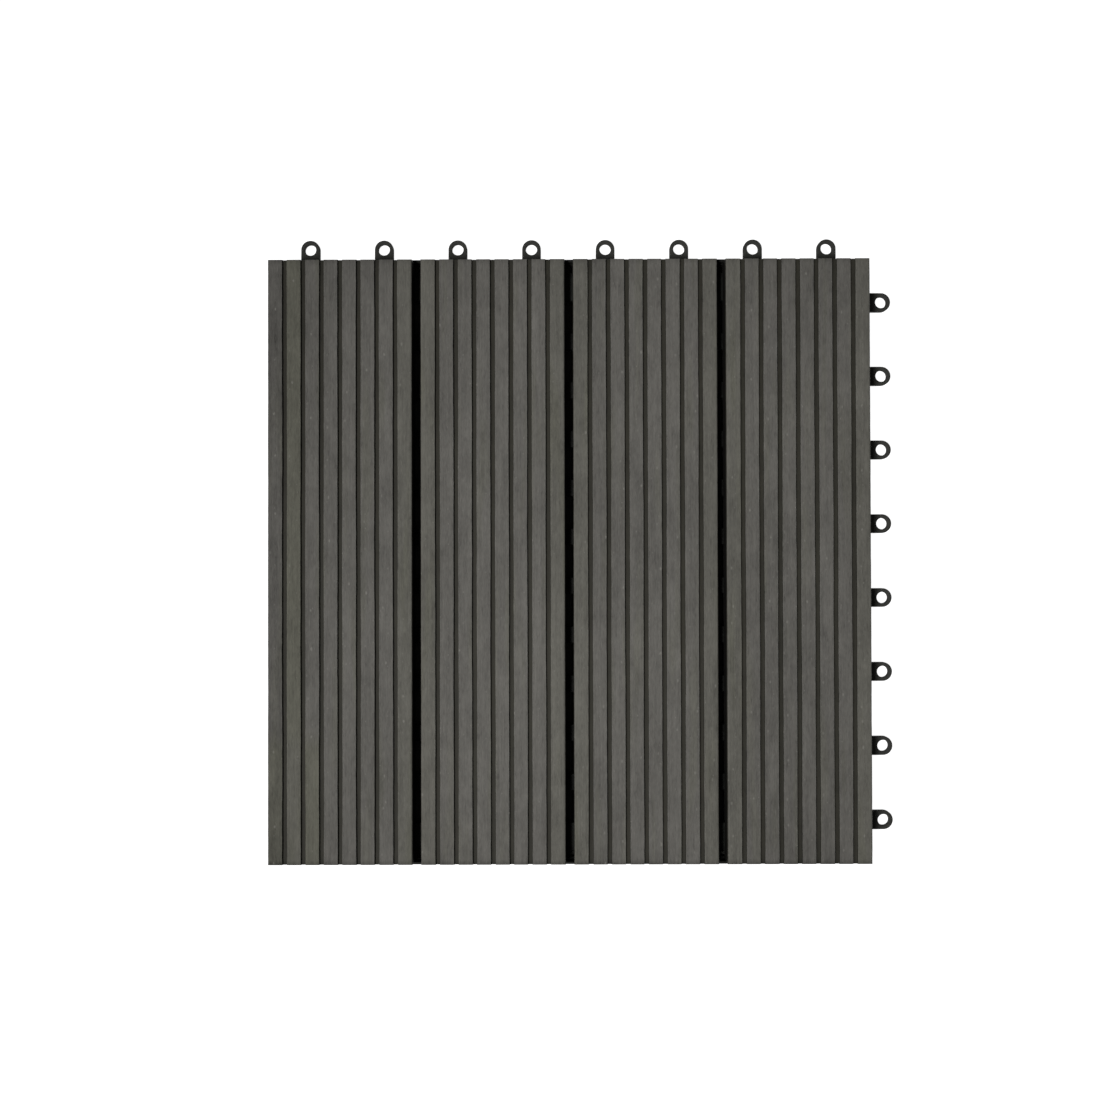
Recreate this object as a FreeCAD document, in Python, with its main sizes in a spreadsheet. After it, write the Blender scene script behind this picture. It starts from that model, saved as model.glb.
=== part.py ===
import FreeCAD, Part
import os
import Sketcher

# Interlocking deck tile: four grooved composite slats, screwed from below to one moulded base.
# Millimetres. The origin is on the ground under the middle of the laying square, +Z is up,
# the slats run along Y, and the loops stand out on the +X and +Y sides.

# Driving sizes: alias, value, what it is
DRIVING_SIZES = (
    ("tile_pitch", 300.0, "laying pitch of the tile, the same both ways"),
    ("slat_count", 4, "slats side by side"),
    ("slat_gap", 4.0, "gap between two slats, also between those of neighbouring tiles"),
    ("end_gap", 3.0, "slat end to the slat end of the next tile"),
    ("slat_thickness", 10.0, "slat, underside to tread"),
    ("slat_edge_radius", 1.1, "rounding of the long top edges of a slat"),
    ("slat_end_chamfer", 0.6, "bevel of the cut ends of a slat"),
    ("groove_count", 7, "grooves along one slat"),
    ("groove_pitch", 9.05, "groove to groove"),
    ("groove_width", 2.2, "groove at its floor"),
    ("groove_depth", 1.3, "tread to groove floor"),
    ("groove_flare", 0.15, "how far one groove wall leans outwards"),
    ("base_height", 12.0, "ground to the top of the base"),
    ("edge_gap", 0.2, "base rim to the laying square's side"),
    ("rim_wall", 1.7, "outer wall of the base"),
    ("rail_width", 6.0, "inner rail, which carries the pegs"),
    ("rib_wall", 1.8, "ribs, along the slats and across them"),
    ("web_wall", 1.6, "webs between rim and rail"),
    ("rib_lift", 2.0, "ground to the lower edge of the ribs"),
    ("cross_pitch", 24.45, "cross rib to cross rib, also bar to bar in a gutter"),
    ("cross_count", 10, "cross ribs"),
    ("bar_width", 8.0, "bars across the gutters, over the cross ribs"),
    ("gutter_width", 5.0, "gutter under a slat gap, wall to wall"),
    ("gutter_depth", 5.5, "gutter, from the top of the base"),
    ("gutter_wall", 1.2, "side walls of a gutter"),
    ("gutter_floor", 1.5, "floor of a gutter"),
    ("foot_width", 9.0, "eight-sided feet, across their flats"),
    ("loop_count", 8, "loops on one side"),
    ("loop_reach", 8.8, "laying square's side to the axis of a loop"),
    ("loop_width", 9.5, "loop across its tongue"),
    ("loop_bore", 5.8, "hole in a loop"),
    ("loop_thickness", 2.5, "loop, bottom to top"),
    ("loop_lift", 1.0, "ground to the bottom of a loop"),
    ("loop_headroom", 0.9, "loop to the base of the tile that lies over it"),
    ("loop_end_room", 2.5, "loop end to the ribs of the tile that lies over it"),
    ("peg_clearance", 0.2, "peg to the wall of the loop's hole"),
    ("peg_lift", 0.6, "ground to the tip of a peg"),
    ("screw_diameter", 4.0, "screw shank"),
    ("screw_length", 14.0, "screw, under the head to the tip"),
    ("head_diameter", 7.6, "screw head"),
    ("head_height", 2.2, "screw head"),
    ("head_lift", 2.2, "ground to the screw head"),
    ("head_clearance", 0.3, "screw head to the wall of its counterbore"),
    ("shank_clearance", 0.2, "shank to the wall of the post's hole"),
    ("post_wall", 1.2, "wall of a screw post around the counterbore"),
    ("pilot_room", 0.4, "screw tip to the end of the slat's hole"),
)

# Sizes that follow from the driving ones: alias, formula, what it is
DERIVED_SIZES = (
    ("half_pitch", "=tile_pitch / 2", "middle of the tile to the laying square's side"),
    ("slat_pitch", "=tile_pitch / slat_count", "slat to slat"),
    ("slat_width", "=slat_pitch - slat_gap", "slat across"),
    ("slat_length", "=tile_pitch - end_gap", "slat along"),
    ("slat_start", "=-(slat_count - 1) * slat_pitch / 2", "middle of the first slat"),
    ("rib_pitch", "=slat_pitch / 2", "rib to rib, for those along the slats"),
    ("rib_start", "=-(slat_count - 1) * rib_pitch", "first rib along the slats"),
    ("rib_height", "=base_height - rib_lift", "ribs, bottom to top"),
    ("cross_start", "=-(cross_count - 1) * cross_pitch / 2", "first cross rib, with screws"),
    ("foot_line", "=1.5 * cross_pitch", "middle of the tile to a row of feet"),
    ("gutter_start", "=slat_start + slat_pitch / 2", "middle of the first gutter"),
    ("gutter_base", "=base_height - gutter_depth - gutter_floor", "ground to a gutter"),
    ("pocket_length", "=cross_pitch - bar_width", "gutter from bar to bar"),
    ("pocket_start", "=cross_start - cross_pitch / 2", "middle of the first pocket of a gutter"),
    ("loop_pitch", "=tile_pitch / loop_count", "loop to loop"),
    ("loop_start", "=-(loop_count - 1) * loop_pitch / 2", "first loop of a side"),
    ("loop_line", "=half_pitch + loop_reach", "middle of the tile to the loop axes"),
    ("peg_line", "=half_pitch - loop_reach", "middle of the tile to the peg axes"),
    ("peg_radius", "=loop_bore / 2 - peg_clearance", "peg"),
    ("rim_outside", "=half_pitch - edge_gap", "middle of the tile to the rim's face"),
    ("rim_inside", "=rim_outside - rim_wall", "middle of the tile to the rim's back"),
    ("rail_outside", "=peg_line + rail_width / 2", "middle of the tile to the rail's face"),
    ("rail_inside", "=peg_line - rail_width / 2", "middle of the tile to the rail's back"),
    ("recess_line", "=peg_line - loop_width / 2 - loop_end_room", "end of the raised edge"),
    ("recess_height", "=loop_lift + loop_thickness + loop_headroom", "under the raised edge"),
    ("seat_height", "=head_lift + head_height", "ground to the screws' seat"),
    ("counterbore_half", "=head_diameter / 2 + head_clearance", "counterbore, axis to flat"),
    ("post_half", "=counterbore_half + post_wall", "screw post, axis to flat"),
    ("pilot_depth", "=seat_height + screw_length + pilot_room - base_height", "slat's hole"),
)

SHEET = "Sizes"
QUARTER_TURN = 90
document = FreeCAD.newDocument("deck_tile")
sheet = document.addObject("Spreadsheet::Sheet", SHEET)


# Spreadsheet
def fill_sheet():
    """Put every size in its own cell, with its alias and its meaning beside it."""
    rows = [(alias, str(value), note) for alias, value, note in DRIVING_SIZES]
    rows += DERIVED_SIZES
    for row, (alias, content, note) in enumerate(rows, start=1):
        sheet.set(f"A{row}", alias)
        sheet.set(f"B{row}", content)
        sheet.set(f"C{row}", note)
        sheet.setAlias(f"B{row}", alias)
    document.recompute()


def size(expression):
    """Value of an expression on the sheet's sizes."""
    found = sheet.evalExpression(expression)
    return float(getattr(found, "Value", found))


def bound(text):
    """The same expression with each alias named through the sheet, for use by other objects."""
    aliases = [row[0] for row in DRIVING_SIZES + DERIVED_SIZES]
    words = []
    for word in text.replace("(", "( ").replace(")", " )").replace("-", " - ").split():
        words.append(f"{SHEET}.{word}" if word in aliases else word)
    return " ".join(words)


# Bodies and sketches
def new_body(label):
    """An empty body whose label names its file."""
    body = document.addObject("PartDesign::Body", label)
    body.Label = label
    return body


def origin_of(body, role):
    """One of the body's own origin planes or axes."""
    return next(item for item in body.Origin.OriginFeatures if item.Role == role)


def tile_axis(body):
    """The body's own upright axis, as a pattern takes it."""
    return (origin_of(body, "Z_Axis"), [""])


def new_sketch(body, name, plane="XY_Plane", offset=("0", "0", "0")):
    """A sketch on an origin plane of its body, moved within the plane and along its normal."""
    sketch = body.newObject("Sketcher::SketchObject", name)
    sketch.AttachmentSupport = [(origin_of(body, plane), "")]
    sketch.MapMode = "FlatFace"
    for axis, expression in zip("xyz", offset):
        if expression != "0":
            sketch.setExpression(f"AttachmentOffset.Base.{axis}", bound(expression))
    return sketch


def set_size(sketch, constraint, expression):
    """Bind one constraint to the sheet."""
    sketch.setExpression(f"Constraints[{constraint}]", bound(expression))


def locate(sketch, edge, end, x, y):
    """Hold one point of the sketch at x and y from the sketch's origin."""
    for kind, axis, expression in (("DistanceX", -2, x), ("DistanceY", -1, y)):
        if expression == "0":
            sketch.addConstraint(Sketcher.Constraint("PointOnObject", edge, end, axis))
        else:
            length = size(expression)
            number = sketch.addConstraint(Sketcher.Constraint(kind, -1, 1, edge, end, length))
            set_size(sketch, number, expression)


def add_polygon(sketch, corners):
    """A closed outline through the corners, each an (x, y) pair of expressions."""
    points = [FreeCAD.Vector(size(x), size(y), 0) for x, y in corners]
    first = sketch.GeometryCount
    for start, end in zip(points, points[1:] + points[:1]):
        sketch.addGeometry(Part.LineSegment(start, end), False)
    for step in range(len(points)):
        follower = first + (step + 1) % len(points)
        sketch.addConstraint(Sketcher.Constraint("Coincident", first + step, 2, follower, 1))
    for step, (x, y) in enumerate(corners):
        locate(sketch, first + step, 1, x, y)


def add_rectangle(sketch, left, bottom, right, top):
    """A rectangle between four coordinates."""
    add_polygon(sketch, ((left, bottom), (right, bottom), (right, top), (left, top)))


def add_square(sketch, half):
    """A square about the sketch's origin."""
    add_rectangle(sketch, f"-({half})", f"-({half})", half, half)


def add_octagon(sketch, half):
    """A regular eight-sided outline about the sketch's origin, from its axis to a flat."""
    corner = f"({half}) * (sqrt(2) - 1)"
    add_polygon(
        sketch,
        (
            (half, f"-{corner}"),
            (half, corner),
            (corner, half),
            (f"-{corner}", half),
            (f"-({half})", corner),
            (f"-({half})", f"-{corner}"),
            (f"-{corner}", f"-({half})"),
            (corner, f"-({half})"),
        ),
    )


def add_circle(sketch, x, y, radius):
    """A circle about a point."""
    centre = FreeCAD.Vector(size(x), size(y), 0)
    up = FreeCAD.Vector(0, 0, 1)
    number = sketch.addGeometry(Part.Circle(centre, up, size(radius)), False)
    locate(sketch, number, 3, x, y)
    constraint = sketch.addConstraint(Sketcher.Constraint("Radius", number, size(radius)))
    set_size(sketch, constraint, radius)


# Features
def add_pad(body, name, sketch, length, both_ways=False):
    """Raise a sketch by a length along its normal, or by half of it each way."""
    pad = body.newObject("PartDesign::Pad", name)
    pad.Profile = sketch
    pad.setExpression("Length", bound(length))
    if both_ways:
        pad.SideType = "Symmetric"
    return pad


def add_pocket(body, name, sketch, length, both_ways=False, upwards=False):
    """Cut a sketch into the body by a length: downwards, upwards or half of it each way."""
    pocket = body.newObject("PartDesign::Pocket", name)
    pocket.Profile = sketch
    pocket.setExpression("Length", bound(length))
    if both_ways:
        pocket.SideType = "Symmetric"
    pocket.Reversed = upwards
    return pocket


def row_pattern(body, name, role, spacing, count):
    """Copies in a straight row along one of the body's own axes."""
    pattern = body.newObject("PartDesign::LinearPattern", name)
    pattern.Direction = (origin_of(body, role), [""])
    pattern.Mode = "Spacing"
    pattern.setExpression("Offset", bound(spacing))
    pattern.setExpression("Occurrences", bound(count))
    return pattern


def turn_pattern(body, name, axis, count):
    """Copies at quarter turns about an upright axis, clockwise from above."""
    pattern = body.newObject("PartDesign::PolarPattern", name)
    pattern.Axis = axis
    pattern.Mode = "Spacing"
    pattern.Offset = QUARTER_TURN
    pattern.Reversed = True
    pattern.Occurrences = count
    return pattern


def add_copies(body, name, feature, *steps):
    """Repeat a feature: each step is a row (axis role, spacing, count) or a turn (axis, count)."""
    several = body.newObject("PartDesign::MultiTransform", name)
    several.Originals = [feature]
    patterns = []
    for number, step in enumerate(steps):
        make = row_pattern if len(step) == 3 else turn_pattern
        patterns.append(make(body, f"{name}_step_{number}", *step))
    several.Transformations = patterns
    body.Tip = several
    document.recompute()
    return several


# Base: one moulding with a lattice of ribs, a rail, a rim, gutters, loops and pegs
def make_grid():
    """The lattice: a block with square-cornered cells, longer ones beyond the last cross ribs."""
    body = new_body("grid")
    outline = new_sketch(body, "grid_outline", offset=("0", "0", "rib_lift"))
    add_square(outline, "peg_line")
    add_pad(body, "grid_block", outline, "rib_height")
    columns = ("X_Axis", "rib_pitch", "2 * slat_count")
    corner = ("rib_start - rib_pitch", "cross_start", "0")
    sketch = new_sketch(body, "cell_outline", offset=corner)
    wall = "rib_wall / 2"
    right = "rib_pitch - rib_wall / 2"
    add_rectangle(sketch, wall, wall, right, "cross_pitch - rib_wall / 2")
    cell = add_pocket(body, "cell", sketch, "3 * base_height", both_ways=True)
    add_copies(body, "cells", cell, columns, ("Y_Axis", "cross_pitch", "cross_count - 1"))
    sketch = new_sketch(body, "end_cell_outline", offset=corner)
    add_rectangle(sketch, wall, "-2 * cross_pitch", right, "-rib_wall / 2")
    cell = add_pocket(body, "end_cell", sketch, "3 * base_height", both_ways=True)
    far_side = ("Y_Axis", "2 * cross_pitch - 2 * cross_start + rib_wall / 2", "2")
    add_copies(body, "end_cells", cell, columns, far_side)
    return body


def add_ring(body, name, outside, inside):
    """A square wall of the ribs' height around the tile."""
    sketch = new_sketch(body, f"{name}_outline", offset=("0", "0", "rib_lift"))
    add_square(sketch, outside)
    add_square(sketch, inside)
    add_pad(body, name, sketch, "rib_height")


def make_frame():
    """Rail and rim around the grid, joined by short webs: one behind each loop and each peg."""
    body = new_body("frame")
    add_ring(body, "rail", "rail_outside", "rail_inside")
    sketch = new_sketch(body, "web_outline", offset=("loop_start", "0", "rib_lift"))
    add_rectangle(sketch, "-web_wall / 2", "peg_line", "web_wall / 2", "rim_inside + rim_wall / 2")
    web = add_pad(body, "web", sketch, "rib_height")
    add_copies(
        body,
        "webs",
        web,
        ("X_Axis", "loop_pitch", "loop_count"),
        (tile_axis(body), 4),
    )
    add_ring(body, "rim", "rim_outside", "rim_inside")
    return body


def add_screw_row(body, name, half, height):
    """Upright eight-sided blocks from the ground up, on the axes of the screws."""
    sketch = new_sketch(body, f"{name}_outline", offset=("slat_start", "cross_start", "0"))
    add_octagon(sketch, half)
    block = add_pad(body, name, sketch, height)
    add_copies(
        body,
        f"{name}_rows",
        block,
        ("X_Axis", "slat_pitch", "slat_count"),
        ("Y_Axis", "-2 * cross_start", "2"),
    )


def make_posts():
    """Screw posts under the ends of each slat's middle line, still without their holes."""
    body = new_body("posts")
    add_screw_row(body, "post", "post_half", "base_height")
    return body


def make_seats():
    """Room for the screws: a counterbore for the head and a hole for the shank."""
    body = new_body("seats")
    add_screw_row(body, "counterbore", "counterbore_half", "seat_height")
    shank_room = "screw_diameter / 2 + shank_clearance"
    add_screw_row(body, "shank_room", shank_room, "base_height + rib_lift")
    return body


def make_recess():
    """Room under the -X and -Y edges, where the neighbours' loops come to lie."""
    body = new_body("recess")
    sketch = new_sketch(body, "recess_outline")
    far = "tile_pitch"
    add_polygon(
        sketch,
        (
            (f"-{far}", f"-{far}"),
            (far, f"-{far}"),
            (far, "-recess_line"),
            ("-recess_line", "-recess_line"),
            ("-recess_line", far),
            (f"-{far}", far),
        ),
    )
    add_pad(body, "recess_room", sketch, "recess_height")
    return body


def make_gutters():
    """A beam under each gap between two slats, from rim to rim, still without its pockets."""
    body = new_body("gutters")
    sketch = new_sketch(body, "gutter_outline", offset=("gutter_start", "0", "gutter_base"))
    half = "gutter_width / 2 + gutter_wall"
    end = "rim_inside + rim_wall / 2"
    add_rectangle(sketch, f"-({half})", f"-({end})", half, end)
    gutter = add_pad(body, "gutter", sketch, "gutter_depth + gutter_floor")
    add_copies(body, "gutter_rows", gutter, ("X_Axis", "slat_pitch", "slat_count - 1"))
    return body


def make_pockets():
    """Pockets that hollow the gutters: between two bars, and between rail and rim."""
    body = new_body("pockets")
    gutters = ("X_Axis", "slat_pitch", "slat_count - 1")
    floor = "base_height - gutter_depth"
    side = "gutter_width / 2"
    sketch = new_sketch(body, "pocket_outline", offset=("gutter_start", "pocket_start", floor))
    add_rectangle(sketch, f"-{side}", "-pocket_length / 2", side, "pocket_length / 2")
    pocket = add_pad(body, "pocket", sketch, "2 * gutter_depth")
    add_copies(body, "pocket_rows", pocket, gutters, ("Y_Axis", "cross_pitch", "cross_count + 1"))
    sketch = new_sketch(body, "end_pocket_outline", offset=("gutter_start", "0", floor))
    add_rectangle(sketch, f"-{side}", "-rim_inside", side, "-rail_outside")
    pocket = add_pad(body, "end_pocket", sketch, "2 * gutter_depth")
    far_side = ("Y_Axis", "rim_inside + rail_outside", "2")
    add_copies(body, "end_pocket_rows", pocket, gutters, far_side)
    return body


def make_feet():
    """Two rows of feet between the screw posts, and one in the middle of the tile."""
    body = new_body("feet")
    height = "base_height - gutter_depth"
    middle = new_sketch(body, "middle_foot_outline")
    add_octagon(middle, "foot_width / 2")
    add_pad(body, "middle_foot", middle, height)
    sketch = new_sketch(body, "foot_outline", offset=("slat_start", "-foot_line", "0"))
    add_octagon(sketch, "foot_width / 2")
    foot = add_pad(body, "foot", sketch, height)
    add_copies(
        body,
        "foot_rows",
        foot,
        ("X_Axis", "slat_pitch", "slat_count"),
        ("Y_Axis", "2 * foot_line", "2"),
    )
    return body


def make_loops():
    """Loops on the +Y and +X sides: a flat tongue from the rail to a round end with a hole."""
    body = new_body("loops")
    sketch = new_sketch(body, "loop_outline", offset=("loop_start", "0", "loop_lift"))
    half = size("loop_width / 2")
    root = size("rail_inside")
    axis = size("loop_line")
    right_root = FreeCAD.Vector(half, root, 0)
    right_end = FreeCAD.Vector(half, axis, 0)
    tip = FreeCAD.Vector(0, axis + half, 0)
    left_end = FreeCAD.Vector(-half, axis, 0)
    left_root = FreeCAD.Vector(-half, root, 0)
    right = sketch.addGeometry(Part.LineSegment(right_root, right_end), False)
    end = sketch.addGeometry(Part.Arc(right_end, tip, left_end), False)
    left = sketch.addGeometry(Part.LineSegment(left_end, left_root), False)
    back = sketch.addGeometry(Part.LineSegment(left_root, right_root), False)
    sketch.addConstraint(Sketcher.Constraint("Tangent", right, 2, end, 1))
    sketch.addConstraint(Sketcher.Constraint("Tangent", end, 2, left, 1))
    sketch.addConstraint(Sketcher.Constraint("Coincident", left, 2, back, 1))
    sketch.addConstraint(Sketcher.Constraint("Coincident", back, 2, right, 1))
    sketch.addConstraint(Sketcher.Constraint("Vertical", right))
    sketch.addConstraint(Sketcher.Constraint("Horizontal", back))
    locate(sketch, end, 3, "0", "loop_line")
    locate(sketch, right, 1, "loop_width / 2", "rail_inside")
    add_circle(sketch, "0", "loop_line", "loop_bore / 2")
    loop = add_pad(body, "loop", sketch, "loop_thickness")
    add_copies(
        body,
        "loop_rows",
        loop,
        ("X_Axis", "loop_pitch", "loop_count"),
        (tile_axis(body), 2),
    )
    return body


def make_pegs():
    """Pegs under the rail of the -Y and -X sides, on the axes of the neighbours' loops."""
    body = new_body("pegs")
    sketch = new_sketch(body, "peg_outline", offset=("loop_start", "-peg_line", "peg_lift"))
    add_circle(sketch, "0", "0", "peg_radius")
    peg = add_pad(body, "peg", sketch, "recess_height - peg_lift + peg_radius")
    add_copies(
        body,
        "peg_rows",
        peg,
        ("X_Axis", "loop_pitch", "loop_count"),
        (tile_axis(body), 2),
    )
    return body


def joined(label, shapes, refine=False):
    """One object from several that overlap."""
    union = document.addObject("Part::MultiFuse", label)
    union.Label = label
    union.Shapes = shapes
    union.Refine = refine
    return union


def cut_away(label, base, tool):
    """One object less another."""
    cut = document.addObject("Part::Cut", label)
    cut.Label = label
    cut.Base = base
    cut.Tool = tool
    cut.Refine = False
    return cut


def make_base():
    """The moulded base as one solid."""
    walls = joined("base_walls", [make_grid(), make_frame(), make_gutters(), make_posts()])
    rooms = joined("base_rooms", [make_seats(), make_recess(), make_pockets()])
    carved = cut_away("base_carved", walls, rooms)
    base = joined("base_grid", [carved, make_feet(), make_loops(), make_pegs()], refine=True)
    document.recompute()
    return base


# Slats: grooved boards of solid composite
def edges_at(shape, test):
    """Names of the straight edges whose middle passes the test."""
    names = []
    for number, edge in enumerate(shape.Edges, start=1):
        if test(edge.CenterOfMass):
            names.append(f"Edge{number}")
    return names


def make_slat(number):
    """One slat around its own middle, placed on the base by its number from the -X side."""
    body = new_body(f"slat_{number}")
    outline = new_sketch(body, f"slat_{number}_section", "XZ_Plane")
    add_rectangle(outline, "-slat_width / 2", "0", "slat_width / 2", "slat_thickness")
    board = add_pad(body, f"slat_{number}_board", outline, "slat_length", both_ways=True)
    document.recompute()
    top = size("slat_thickness")
    half_width = size("slat_width / 2")
    half_length = size("slat_length / 2")
    near = 1e-6

    def long_edge(middle):
        return abs(middle.z - top) < near and abs(abs(middle.x) - half_width) < near

    def end_edge(middle):
        return abs(middle.z - top) < near and abs(abs(middle.y) - half_length) < near

    rounding = body.newObject("PartDesign::Fillet", f"slat_{number}_rounding")
    rounding.Base = (board, edges_at(board.Shape, long_edge))
    rounding.setExpression("Radius", bound("slat_edge_radius"))
    document.recompute()
    bevel = body.newObject("PartDesign::Chamfer", f"slat_{number}_end_bevel")
    bevel.Base = (rounding, edges_at(rounding.Shape, end_edge))
    bevel.setExpression("Size", bound("slat_end_chamfer"))
    add_grooves(body, number)
    add_pilot_holes(body, number)
    body.setExpression("Placement.Base.x", bound(f"slat_start + {number - 1} * slat_pitch"))
    body.setExpression("Placement.Base.z", bound("base_height"))
    return body


def add_grooves(body, number):
    """Flat-bottomed grooves along the tread, with walls that lean outwards."""
    start = "-(groove_count - 1) * groove_pitch / 2"
    floor = "slat_thickness - groove_depth"
    section = new_sketch(body, f"slat_{number}_groove_section", "XZ_Plane", (start, floor, "0"))
    foot = "groove_width / 2"
    mouth = "groove_width / 2 + 2 * groove_flare"
    above = "2 * groove_depth"
    add_polygon(
        section,
        ((f"-({foot})", "0"), (foot, "0"), (mouth, above), (f"-({mouth})", above)),
    )
    groove = add_pocket(body, f"slat_{number}_groove", section, "2 * slat_length", both_ways=True)
    add_copies(body, f"slat_{number}_grooves", groove, ("X_Axis", "groove_pitch", "groove_count"))


def add_pilot_holes(body, number):
    """Blind holes in the underside, filled by the screws' shanks."""
    sketch = new_sketch(body, f"slat_{number}_pilot_outline", offset=("0", "cross_start", "0"))
    add_octagon(sketch, "screw_diameter / 2")
    hole = add_pocket(body, f"slat_{number}_pilot", sketch, "pilot_depth", upwards=True)
    add_copies(body, f"slat_{number}_pilots", hole, ("Y_Axis", "-2 * cross_start", "2"))


# Screws: one form, set into every post
def make_screw_form():
    """A screw that stands on its round head, its seat at height zero, its thread left plain."""
    body = new_body("screw_form")
    head = new_sketch(body, "screw_head_outline", offset=("0", "0", "-head_height"))
    add_circle(head, "0", "0", "head_diameter / 2")
    add_pad(body, "screw_head", head, "head_height")
    shank = new_sketch(body, "screw_shank_outline")
    add_octagon(shank, "screw_diameter / 2")
    add_pad(body, "screw_shank", shank, "screw_length")
    return body


def screw_places():
    """Where the seat of each screw lies."""
    row = size("cross_start")
    places = []
    for slat in range(int(size("slat_count"))):
        x = size("slat_start") + slat * size("slat_pitch")
        places += [FreeCAD.Vector(x, y, size("seat_height")) for y in (row, -row)]
    return places


def make_screws():
    """All the screws as one group of separate solids."""
    form = make_screw_form()
    document.recompute()
    copies = []
    for place in screw_places():
        copy = form.Shape.copy()
        copy.translate(place)
        copies.append(copy)
    group = document.addObject("Part::Feature", "fixing_screws")
    group.Label = "fixing_screws"
    group.Shape = Part.makeCompound(copies)
    group.Placement = FreeCAD.Placement()
    return group


# Checks and files
def check_document():
    """Stop if any object of the document failed."""
    for item in document.Objects:
        if "Invalid" in item.State or "Error" in item.State:
            raise RuntimeError(f"{item.Label} failed: {item.State}")


def check_shape(part, solids):
    """Stop if a sub-part is empty or not valid, or has another number of solids than it should."""
    if part.Shape.isNull() or not part.Shape.isValid():
        raise RuntimeError(f"{part.Label} has no valid shape")
    if len(part.Shape.Solids) != solids:
        raise RuntimeError(f"{part.Label} has {len(part.Shape.Solids)} solids, not {solids}")


def main():
    """Build every sub-part, check it and write its file."""
    fill_sheet()
    parts = [(make_base(), 1)]
    parts += [(make_slat(number), 1) for number in range(1, int(size("slat_count")) + 1)]
    parts.append((make_screws(), len(screw_places())))
    document.recompute()
    check_document()
    os.makedirs("parts", exist_ok=True)
    for part, solids in parts:
        check_shape(part, solids)
    for part, solids in parts:
        part.Shape.exportStep(f"parts/{part.Label}.step")
        print(part.Label, "volume", round(part.Shape.Volume), "faces", len(part.Shape.Faces))


main()
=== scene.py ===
"""Interlocking deck tile, dressed for rendering.

Four grooved boards of wood-plastic composite lie on one moulded plastic base. All lengths are
in metres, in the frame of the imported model: the ground is z = 0, the boards run along Y, and the
loops stand out on the +X and +Y sides.
"""

import logging
from dataclasses import dataclass
from enum import Enum

import bmesh
import bpy
import numpy as np
from mathutils import Euler, Matrix, Vector


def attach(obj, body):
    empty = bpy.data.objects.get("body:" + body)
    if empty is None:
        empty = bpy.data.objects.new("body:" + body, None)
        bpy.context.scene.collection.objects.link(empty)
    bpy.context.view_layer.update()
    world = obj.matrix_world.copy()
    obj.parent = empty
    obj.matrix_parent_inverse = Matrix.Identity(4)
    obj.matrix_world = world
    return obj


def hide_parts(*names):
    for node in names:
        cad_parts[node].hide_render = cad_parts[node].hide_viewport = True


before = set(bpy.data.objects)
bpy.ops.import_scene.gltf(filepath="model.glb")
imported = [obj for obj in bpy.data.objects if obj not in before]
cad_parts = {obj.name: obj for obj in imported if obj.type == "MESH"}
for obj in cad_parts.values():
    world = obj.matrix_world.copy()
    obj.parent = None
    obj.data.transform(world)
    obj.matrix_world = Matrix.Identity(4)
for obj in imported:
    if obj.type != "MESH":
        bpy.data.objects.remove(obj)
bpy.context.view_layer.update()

MM = 0.001
LOG = logging.getLogger("deck_tile")

Colour = tuple[float, float, float, float]
Triple = tuple[float, float, float]
Pair = tuple[float, float]


class Pattern(Enum):
    """Texture nodes that the finishes use."""

    CLOUD = "ShaderNodeTexNoise"
    CELLS = "ShaderNodeTexVoronoi"
    DICE = "ShaderNodeTexWhiteNoise"


@dataclass(frozen=True)
class Noise:
    """Soft noise of a finish.

    The grain is the size of its blotches along X, Y and Z. The shift moves it, so that two
    noises differ. Detail and rough say how many finer layers it has and how strong they are,
    tone and relief how much it changes the surface's brightness and height.
    """

    grain: Triple
    shift: float
    detail: float
    rough: float = 0.5
    tone: float = 0.0
    relief: float = 0.0


@dataclass(frozen=True)
class Scatter:
    """Small marks scattered over X and Y.

    The pitch is the mean distance of the scattered points along X and along Y, the radius is a
    mark's radius as a share of that distance, and the share says how many points carry a mark.
    The fray is how far outlines stray and the core how wide the full middle is, both in radii.
    The fade widens the share a little, by marks that are too faint to count.
    """

    pitch: Pair
    radius: float
    share: float
    strength: float
    fray: float = 2.5
    core: float = 0.25
    fade: float = 1.15


class Signal:
    """One number that a shader works out, with arithmetic that adds Math nodes."""

    def __init__(self, shader: "Shader", socket: bpy.types.NodeSocket) -> None:
        """Wrap an output socket of a shader's node tree."""
        self.shader = shader
        self.socket = socket

    def _math(self, operation: str, first: object, second: object = None) -> "Signal":
        """Add one Math node.

        Args:
            operation: the Math node's operation.
            first: its first value, a Signal or a number.
            second: its second value, or None where it takes only one.

        Returns:
            The node's result.
        """
        values = [value for value in (first, second) if value is not None]
        inputs = dict(enumerate(values))
        return self.shader.node("ShaderNodeMath", {"operation": operation}, inputs)

    def __add__(self, other: object) -> "Signal":
        """Sum."""
        return self._math("ADD", self, other)

    __radd__ = __add__

    def __sub__(self, other: object) -> "Signal":
        """Difference."""
        return self._math("SUBTRACT", self, other)

    def __rsub__(self, other: object) -> "Signal":
        """Difference, with the number first."""
        return self._math("SUBTRACT", other, self)

    def __mul__(self, other: object) -> "Signal":
        """Product."""
        return self._math("MULTIPLY", self, other)

    __rmul__ = __mul__

    def __truediv__(self, other: object) -> "Signal":
        """Quotient."""
        return self._math("DIVIDE", self, other)

    def floor(self) -> "Signal":
        """Next whole number down."""
        return self._math("FLOOR", self)

    def size(self) -> "Signal":
        """Value without its sign."""
        return self._math("ABSOLUTE", self)

    def step(self, start: float, end: float) -> "Signal":
        """Smooth rise from 0 to 1.

        Args:
            start: the value that gives 0.
            end: the value that gives 1; it may be the lower one.

        Returns:
            The rise.
        """
        settings = {"interpolation_type": "SMOOTHSTEP"}
        inputs = {"Value": self, "From Min": start, "From Max": end}
        return self.shader.node("ShaderNodeMapRange", settings, inputs)


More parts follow.
